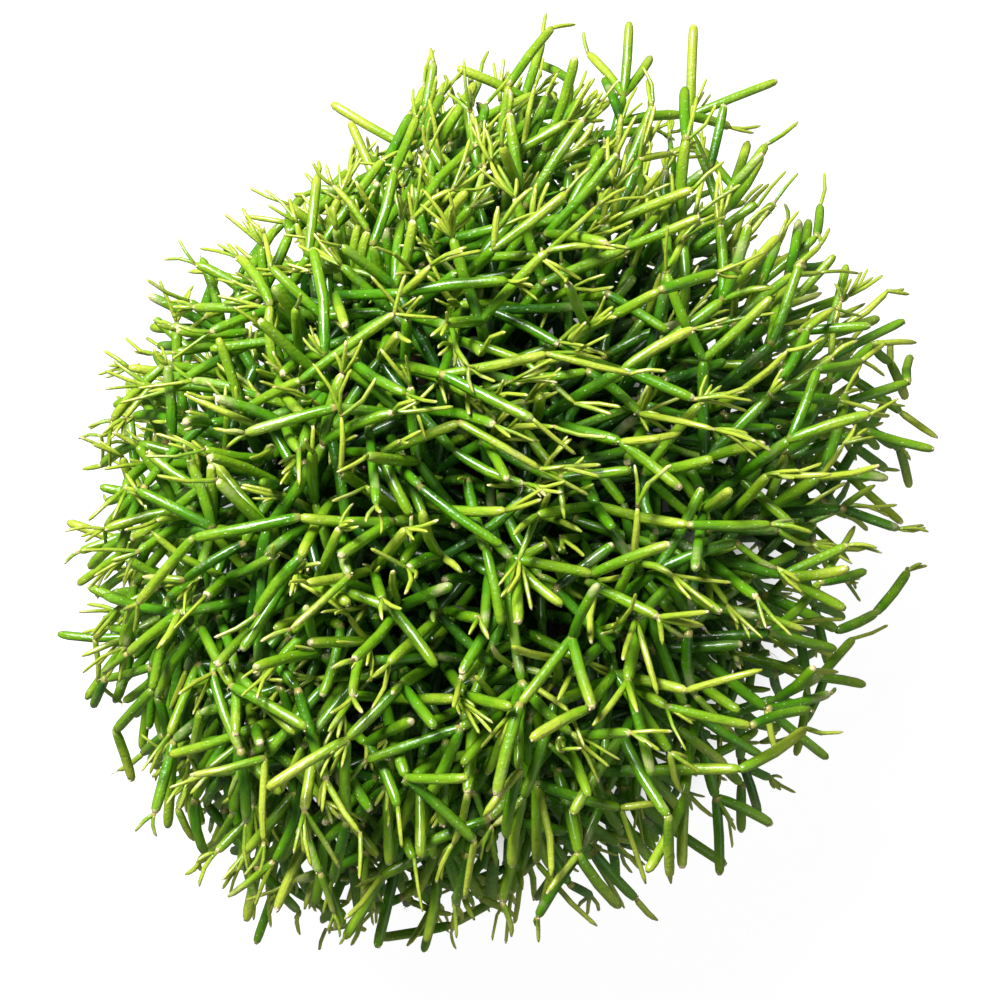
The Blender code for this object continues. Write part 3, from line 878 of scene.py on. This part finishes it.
@functools.cache
def waxy_cactus_stem():
    """Live cactus stem: green flesh under a smooth waxy cuticle. Deep green where it is old and where shade
    is painted in deep in the crown and low down, yellow-green where it is young, with tiny pale areoles, a
    corky ring at some joints, dry blotches before some tips and a scrap of down on others."""
    settings = bpy.context.scene.mistletoe_flesh
    material, tree = new_material("waxy_cactus_stem")
    add = functools.partial(add_node, tree)
    place = add("ShaderNodeTexCoord", output="Object")
    skin = add("ShaderNodeUVMap", {"uv_map": "skin"})
    from_joint = add("ShaderNodeSeparateXYZ", (), {0: skin}, "Y")
    to_tip, age, tint, tip = (
        add("ShaderNodeAttribute", {"attribute_name": name}, (), "Fac") for name in SEGMENT_MARKS
    )

    # Shade from young to old: by the segment's age with its painted depth shade and by chance, lighter
    # towards its tip, and mottled
    whole = add("ShaderNodeMath", {"operation": "ADD"}, {0: from_joint, 1: to_tip})
    along = add("ShaderNodeMath", {"operation": "DIVIDE"}, {0: to_tip, 1: whole})
    blotches = add("ShaderNodeTexNoise", (), {"Vector": place, "Scale": 1 / BLOTCH, "Detail": 2.0})
    grain = add("ShaderNodeTexNoise", (), {"Vector": place, "Scale": 1 / GRAIN, "Detail": 2.0})
    # The age mark carries painted shade too: darker deep in the crown and low down, lighter at its outside
    shade = age
    weights = (settings.tip_lighter, BLOTCH_SHADE, GRAIN_SHADE, TINT_SHADE)
    for cause, weight in zip((along, blotches, grain, tint), weights):
        shade = add("ShaderNodeMath", {"operation": "MULTIPLY_ADD"}, {0: cause, 1: weight, 2: shade})
    mean = sum(weights) / 2
    shade = add("ShaderNodeMath", {"operation": "SUBTRACT"}, {0: shade, 1: mean})
    colour = add("ShaderNodeValToRGB", (), {"Fac": shade})
    ramp = colour.node.color_ramp
    for position in GREEN_STOPS[1:-1]:
        ramp.elements.new(position)
    # The old green also paints the shade deep in the crown
    greens = (settings.young, settings.fresh, settings.mature, settings.old)
    for element, position, green in zip(ramp.elements, GREEN_STOPS, greens):
        element.position = position
        element.color = (*green, 1)

    # Areoles in rows along the stem, 0.4 mm across, each with its own paleness
    rows = {0: skin, 1: (AREOLE_ROWS, 1 / AREOLE_SPACING, 1)}
    spread = add("ShaderNodeVectorMath", {"operation": "MULTIPLY"}, rows)
    dots = add("ShaderNodeTexVoronoi", {"voronoi_dimensions": "2D"}, {"Vector": spread, "Scale": 1.0})
    smooth = {"interpolation_type": "SMOOTHSTEP"}
    dot = {"Value": dots, "From Min": 0.09, "From Max": 0.03, "To Max": 0.55}
    areole = add("ShaderNodeMapRange", smooth, dot)

    # Corky ring over the first millimetre of some segments
    first = {"Value": from_joint, "From Min": 1.7 * MM, "From Max": 0.3 * MM}
    ring = add("ShaderNodeMapRange", smooth, first)
    ring = add("ShaderNodeMath", {"operation": "MULTIPLY"}, {0: ring, 1: tint})

    # Dry, pale blotches over the last centimetre or so of some segments
    dry = add("ShaderNodeMapRange", (), {"Value": blotches, "From Min": 0.48, "From Max": 0.68})
    last = {"Value": to_tip, "From Min": 13 * MM, "From Max": 1 * MM, "To Max": 0.5}
    some = {"Value": tint, "From Min": 0.65, "From Max": 0.90}
    for limits in (last, some):
        limit = add("ShaderNodeMapRange", (), limits)
        dry = add("ShaderNodeMath", {"operation": "MULTIPLY"}, {0: dry, 1: limit})

    # Ragged scrap of down on some tips, up to 1.5 mm long
    edge = add("ShaderNodeMath", {"operation": "MULTIPLY_ADD"}, {0: grain, 1: -DOWN_REACH, 2: to_tip})
    downy = add("ShaderNodeMapRange", smooth, {"Value": edge, "From Min": 0.0, "From Max": -DOWN_EDGE})
    downy = add("ShaderNodeMath", {"operation": "MULTIPLY"}, {0: downy, 1: tip})

    covers = ((areole, settings.areole), (ring, settings.cork), (dry, settings.wool), (downy, settings.wool))
    for cover, tone in covers:
        colour = add("ShaderNodeMix", {"data_type": "RGBA"}, {0: cover, 6: colour, 7: (*tone, 1)}, 2)

    # Fine lengthways wrinkles, and the grain, which breaks the streak of light up
    rows = {0: skin, 1: (WRINKLE_ROWS, 1 / WRINKLE, 1)}
    streaks = add("ShaderNodeVectorMath", {"operation": "MULTIPLY"}, rows)
    relief = add("ShaderNodeTexNoise", (), {"Vector": streaks, "Scale": 1.0, "Detail": 1.0})
    for cause in (grain, areole):
        relief = add("ShaderNodeMath", {"operation": "MULTIPLY_ADD"}, {0: cause, 1: FINE_RELIEF, 2: relief})
    bump = add("ShaderNodeBump", (), {"Height": relief, "Strength": 0.8, "Distance": 0.4 * MM})
    rough = settings.roughness - GRAIN_ROUGHNESS_MEAN
    for cause, weight in ((grain, GRAIN_ROUGHNESS), (downy, DOWN_ROUGHNESS)):
        rough = add("ShaderNodeMath", {"operation": "MULTIPLY_ADD"}, {0: cause, 1: weight, 2: rough})
    finish = {
        "Base Color": colour,
        "Roughness": rough,
        "IOR": 1.40,
        "Coat Weight": settings.wax,
        "Coat Roughness": 0.16,
        "Normal": bump,
    }
    add("ShaderNodeOutputMaterial", (), {"Surface": add("ShaderNodeBsdfPrincipled", (), finish)})
    return material


@functools.cache
def plain_finish(name, light, dark, grain, rough, lift):
    """A dull finish mottled between two colours at the size of its grain, with relief as deep as lift."""
    material, tree = new_material(name)
    add = functools.partial(add_node, tree)
    place = add("ShaderNodeTexCoord", output="Object")
    mottle = add("ShaderNodeTexNoise", (), {"Vector": place, "Scale": 1 / grain, "Detail": 4.0})
    sharper = add("ShaderNodeMapRange", (), {"Value": mottle, "From Min": 0.35, "From Max": 0.65})
    colours = {0: sharper, 6: (*linear(dark), 1), 7: (*linear(light), 1)}
    colour = add("ShaderNodeMix", {"data_type": "RGBA"}, colours, 2)
    bump = add("ShaderNodeBump", (), {"Height": mottle, "Strength": 0.8, "Distance": lift})
    finish = {"Base Color": colour, "Roughness": rough, "Normal": bump}
    add("ShaderNodeOutputMaterial", (), {"Surface": add("ShaderNodeBsdfPrincipled", (), finish)})
    return material


def felted_areole_wool():
    """Dry, matted plant wool: cream with a pink cast, quite dull, with a nap of half a millimetre."""
    return plain_finish("felted_areole_wool", "#efe2c2", "#b8906c", 0.5 * MM, 0.9, 0.15 * MM)


def dry_bristle():
    """Dry, straw-coloured plant bristle, faintly glossy."""
    return plain_finish("dry_bristle", "#e2dba6", "#b3ad5e", 1.5 * MM, 0.5, 0.02 * MM)


def moulded_polypropylene():
    """Black injection-moulded polypropylene: a fine matte grain, dusty in places."""
    return plain_finish("moulded_polypropylene", "#232321", "#171816", 4 * MM, 0.48, 0.04 * MM)


def loose_peat():
    """Loose, moist peat: dark brown fibres and crumbs of a millimetre or two, quite dull."""
    return plain_finish("loose_peat", "#4a3524", "#1b120c", 1.6 * MM, 0.95, 0.8 * MM)


def expanded_perlite():
    """Expanded perlite: white, chalky, with fine pits."""
    return plain_finish("expanded_perlite", "#efece2", "#c3bdac", 0.7 * MM, 0.85, 0.15 * MM)


class GrowthSettings(bpy.types.PropertyGroup):
    """How the plant grows between its solids."""

    seed: bpy.props.IntProperty(name="Seed", description="Seed of the growth, as of the solids'", default=7)
    inner_twigs: bpy.props.IntProperty(
        name="Inner twigs", description="Older side stems inside the crown", default=700, min=0
    )
    side_twigs: bpy.props.IntProperty(
        name="Side twigs", description="Side stems near the crown's outside", default=1700, min=0
    )
    young_stems: bpy.props.IntProperty(
        name="Young stems", description="Half-thick stems of this year", default=420, min=0
    )
    tuft_share: bpy.props.FloatProperty(
        name="Tufted tips", description="Tips with a fan of shoots", default=0.50, max=1, subtype="FACTOR"
    )
    tuft_side: bpy.props.FloatProperty(
        name="Youngest side",
        description="Azimuth with the most shoots",
        default=math.radians(125),
        subtype="ANGLE",
    )
    tuft_lopsided: bpy.props.FloatProperty(
        name="Lopsided", description="How much fuller of shoots that side is", default=0.65, min=0, max=1
    )
    most_shoots: bpy.props.IntProperty(name="Most shoots", description="In one fan", default=5, min=1)
    bristle_share: bpy.props.FloatProperty(
        name="Bristly tips", description="Tips with dry bristles", default=0.07, max=1, subtype="FACTOR"
    )
    wool_share: bpy.props.FloatProperty(
        name="Woolly tips", description="Tips with lumps of wool", default=0.55, max=1, subtype="FACTOR"
    )


class FleshSettings(bpy.types.PropertyGroup):
    """Colours and gloss of the stems."""

    young: bpy.props.FloatVectorProperty(
        name="Young", description="This year's shoots", subtype="COLOR", default=linear("#a6b638"), max=1
    )
    fresh: bpy.props.FloatVectorProperty(
        name="Fresh", description="Last year's stems", subtype="COLOR", default=linear("#749d18"), max=1
    )
    mature: bpy.props.FloatVectorProperty(
        name="Mature", description="Grown stems", subtype="COLOR", default=linear("#4a8608"), max=1
    )
    old: bpy.props.FloatVectorProperty(
        name="Old", description="Shaded old stems", subtype="COLOR", default=linear("#1b4a06"), max=1
    )
    areole: bpy.props.FloatVectorProperty(
        name="Areole", description="Tiny dots on the skin", subtype="COLOR", default=linear("#dbe3a8"), max=1
    )
    cork: bpy.props.FloatVectorProperty(
        name="Cork", description="Ring at some joints", subtype="COLOR", default=linear("#b3a35e"), max=1
    )
    wool: bpy.props.FloatVectorProperty(
        name="Wool", description="Down and dry blotches", subtype="COLOR", default=linear("#e6d2a6"), max=1
    )
    tip_lighter: bpy.props.FloatProperty(
        name="Darker base", description="How much older a base looks than its tip", default=0.42, min=0
    )
    roughness: bpy.props.FloatProperty(
        name="Roughness", description="Mean roughness of the skin", default=0.31, max=1, subtype="FACTOR"
    )
    wax: bpy.props.FloatProperty(
        name="Wax", description="Weight of the clear waxy layer", default=0.55, max=1, subtype="FACTOR"
    )


class SoilSettings(bpy.types.PropertyGroup):
    """What lies on the soil."""

    crumbs: bpy.props.IntProperty(name="Crumbs", description="Lumps of peat tried", default=900, min=0)
    grains: bpy.props.IntProperty(name="Grains", description="Grains of perlite tried", default=160, min=0)


class StageSettings(bpy.types.PropertyGroup):
    """Camera and light."""

    aim: bpy.props.FloatVectorProperty(
        name="Aim", description="Where the camera looks", default=(0.012, 0.0, 0.110), subtype="TRANSLATION"
    )
    elevation: bpy.props.FloatProperty(
        name="Elevation", description="Camera's height as an angle", default=math.radians(80), subtype="ANGLE"
    )
    distance: bpy.props.FloatProperty(
        name="Distance", description="From the aim to the camera", default=0.60, unit="LENGTH", min=0.1
    )
    seen_width: bpy.props.FloatProperty(
        name="Seen width", description="Width of the view at the aim", default=0.33, unit="LENGTH", min=0.05
    )
    key_power: bpy.props.FloatProperty(name="Key light", description="Power of the main light", default=37)
    fill_power: bpy.props.FloatProperty(name="Fill light", description="Power of the fill light", default=3)
    floor_glow: bpy.props.FloatProperty(
        name="Floor glow", description="Light of the floor outside the plant's shade", default=0.96, min=0
    )
    sky: bpy.props.FloatProperty(name="Sky", description="Light from all round", default=0.07, min=0)


class MISTLETOE_OT_rooted_stems(bpy.types.Operator):
    """Dresses each rooted stem in the place of its solid"""

    bl_idname = "mistletoe.rooted_stems"
    bl_label = "Rooted stems"

    def execute(self, context):
        thicket = solid_growth(context.scene.mistletoe_growth.seed)
        for stem in range(STEMS):
            indices = [i for i, segment in enumerate(thicket.segments) if segment.stem == stem]
            shape = segments_shape(thicket, indices, random.Random(f"stem {stem}"), BOW_MOST)
            node = f"stem_{stem + 1:02d}"
            finished_object(node + "_flesh", shape, waxy_cactus_stem(), "stem_flesh", node)
        return {"FINISHED"}


class MISTLETOE_OT_side_twigs(bpy.types.Operator):
    """Adds the side twigs that fill the crown between the rooted stems"""

    bl_idname = "mistletoe.side_twigs"
    bl_label = "Side twigs"

    def execute(self, context):
        settings = context.scene.mistletoe_growth
        for sector in range(TWIG_SECTORS):
            indices = finer_segments(settings, (FINE_INNER, FINE_TWIG), sector, TWIG_SECTORS)
            shape = segments_shape(grown(settings), indices, random.Random(f"twigs {sector}"), TWIG_BOW_MOST)
            finished_object(f"side_twigs_{sector + 1:02d}", shape, waxy_cactus_stem(), "stem_flesh")
        return {"FINISHED"}


class MISTLETOE_OT_young_shoots(bpy.types.Operator):
    """Adds this year's thin stems and the fans of shoots at the tips"""

    bl_idname = "mistletoe.young_shoots"
    bl_label = "Young shoots"

    def execute(self, context):
        settings = context.scene.mistletoe_growth
        for sector in range(SHOOT_SECTORS):
            indices = finer_segments(settings, (YOUNG, SPROUT), sector, SHOOT_SECTORS)
            shape = segments_shape(grown(settings), indices, random.Random(f"shoots {sector}"), TWIG_BOW_MOST)
            finished_object(f"young_shoots_{sector + 1:02d}", shape, waxy_cactus_stem(), "stem_flesh")
        return {"FINISHED"}


class MISTLETOE_OT_wool_and_bristles(bpy.types.Operator):
    """Adds the areole wool and the dry bristles at some of the tips"""

    bl_idname = "mistletoe.wool_and_bristles"
    bl_label = "Wool and bristles"

    def execute(self, context):
        settings = context.scene.mistletoe_growth
        wool = wool_shape(grown(settings), settings.wool_share, random.Random("wool"))
        finished_object("areole_wool", wool, felted_areole_wool(), "stem_flesh")
        indices = finer_segments(settings, (BRISTLE,), 0, 1)
        bristles = segments_shape(grown(settings), indices, random.Random("bristles"), TWIG_BOW_MOST)
        finished_object("dry_bristles", bristles, dry_bristle(), "stem_flesh")
        return {"FINISHED"}


class MISTLETOE_OT_nursery_pot(bpy.types.Operator):
    """Moulds the pot in the place of its solid"""

    bl_idname = "mistletoe.nursery_pot"
    bl_label = "Nursery pot"

    def execute(self, context):
        pot = finished_object(
            "nursery_pot", pierced(pot_shape(), drain_cutter()), moulded_polypropylene(), "pot_plastic", "pot"
        )
        for polygon in pot.data.polygons:
            polygon.use_smooth = True
        pot.data.set_sharp_from_angle(angle=SHARP_EDGE)
        return {"FINISHED"}


class MISTLETOE_OT_peat(bpy.types.Operator):
    """Finishes the soil and strews crumbs of peat and grains of perlite over it"""

    bl_idname = "mistletoe.peat"
    bl_label = "Peat"

    def execute(self, context):
        settings = context.scene.mistletoe_soil
        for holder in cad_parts["potting_soil"].material_slots:
            holder.material = loose_peat()
        crumbs = strewn_shape(settings.crumbs, CRUMB_RADIUS, random.Random("crumbs"))
        finished_object("peat_crumbs", crumbs, loose_peat(), "potting_soil")
        grains = strewn_shape(settings.grains, GRAIN_RADIUS, random.Random("grains"))
        finished_object("perlite_grains", grains, expanded_perlite(), "potting_soil")
        return {"FINISHED"}


class MISTLETOE_OT_stage(bpy.types.Operator):
    """Sets up the pale floor, the soft light and the camera"""

    bl_idname = "mistletoe.stage"
    bl_label = "Stage"

    def execute(self, context):
        settings = context.scene.mistletoe_stage
        shape = bmesh.new()
        bmesh.ops.create_grid(shape, x_segments=1, y_segments=1, size=FLOOR_HALF)
        floor = loose_object("floor", shape)
        shape = bmesh.new()
        sides = BACKDROP_SIDES
        bmesh.ops.create_uvsphere(shape, u_segments=sides, v_segments=sides // 2, radius=FLOOR_HALF)
        backdrop = loose_object("backdrop", shape)
        board = self.white_board(settings.floor_glow)
        for item in (floor, backdrop):
            item.data.materials.append(board)
            item.visible_glossy = False
        backdrop.visible_diffuse = False
        backdrop.visible_shadow = False
        self.add_light(context, "key", KEY_PLACE, KEY_SIZE, settings.key_power)
        self.add_light(context, "fill", FILL_PLACE, FILL_SIZE, settings.fill_power)
        world = bpy.data.worlds.new("studio")
        world.use_nodes = True
        background = world.node_tree.nodes["Background"]
        background.inputs["Color"].default_value = WHITE
        background.inputs["Strength"].default_value = settings.sky
        context.scene.world = world
        context.scene.view_settings.view_transform = "Standard"
        camera = bpy.data.objects.new("camera", bpy.data.cameras.new("camera"))
        camera.data.lens = camera.data.sensor_width * settings.distance / settings.seen_width
        camera.data.clip_start = NEAR_CLIP
        back = Vector((0, -math.cos(settings.elevation), math.sin(settings.elevation)))
        camera.location = Vector(settings.aim) + back * settings.distance
        camera.rotation_euler = (-back).to_track_quat("-Z", "Y").to_euler()
        context.scene.collection.objects.link(camera)
        context.scene.camera = camera
        return {"FINISHED"}

    def white_board(self, glow):
        """Matt white board that gives off light of its own, but not in the plant's own shade."""
        material, tree = new_material("matt_white_board")
        material.cycles.emission_sampling = "NONE"
        add = functools.partial(add_node, tree)
        place = add("ShaderNodeTexCoord", output="Object")
        away = add("ShaderNodeVectorMath", {"operation": "LENGTH"}, {0: place}, "Value")
        lit = {"Value": away, "From Min": SHADE_RADIUS[0], "From Max": SHADE_RADIUS[1], "To Max": glow}
        strength = add("ShaderNodeMapRange", {"interpolation_type": "SMOOTHSTEP"}, lit)
        finish = {"Base Color": BOARD_GREY, "Roughness": 0.9}
        finish |= {"Emission Color": WHITE, "Emission Strength": strength}
        add("ShaderNodeOutputMaterial", (), {"Surface": add("ShaderNodeBsdfPrincipled", (), finish)})
        return material

    def add_light(self, context, name, place, size, power):
        """A square, soft light that faces the plant."""
        light = bpy.data.lights.new(name, "AREA")
        light.energy = power
        light.size = size
        lamp = bpy.data.objects.new(name, light)
        lamp.location = place
        lamp.rotation_euler = (LIGHTS_AIM - place).to_track_quat("-Z", "Y").to_euler()
        context.scene.collection.objects.link(lamp)


class MISTLETOE_PT_panel(bpy.types.Panel):
    """The plant's settings and the steps that make it"""

    bl_idname = "MISTLETOE_PT_panel"
    bl_label = "Mistletoe cactus"
    bl_space_type = "VIEW_3D"
    bl_region_type = "UI"
    bl_category = "Mistletoe cactus"

    def draw(self, context):
        for name in GROUPS:
            group = getattr(context.scene, name)
            box = self.layout.box()
            for setting in group.__annotations__:
                box.prop(group, setting)
        for step in STEPS:
            self.layout.operator(step.bl_idname)


STEPS = (
    MISTLETOE_OT_rooted_stems,
    MISTLETOE_OT_side_twigs,
    MISTLETOE_OT_young_shoots,
    MISTLETOE_OT_wool_and_bristles,
    MISTLETOE_OT_nursery_pot,
    MISTLETOE_OT_peat,
    MISTLETOE_OT_stage,
)
GROUPS = {
    "mistletoe_growth": GrowthSettings,
    "mistletoe_flesh": FleshSettings,
    "mistletoe_soil": SoilSettings,
    "mistletoe_stage": StageSettings,
}


def register():
    for item in (*GROUPS.values(), *STEPS, MISTLETOE_PT_panel):
        bpy.utils.register_class(item)
    for name, group in GROUPS.items():
        setattr(bpy.types.Scene, name, bpy.props.PointerProperty(type=group))


def unregister():
    for name in GROUPS:
        delattr(bpy.types.Scene, name)
    for item in (MISTLETOE_PT_panel, *reversed(STEPS), *reversed(GROUPS.values())):
        bpy.utils.unregister_class(item)


def main():
    register()
    bpy.ops.mistletoe.rooted_stems()
    bpy.ops.mistletoe.side_twigs()
    bpy.ops.mistletoe.young_shoots()
    bpy.ops.mistletoe.wool_and_bristles()
    bpy.ops.mistletoe.nursery_pot()
    bpy.ops.mistletoe.peat()
    bpy.ops.mistletoe.stage()


if __name__ == "__main__":
    main()
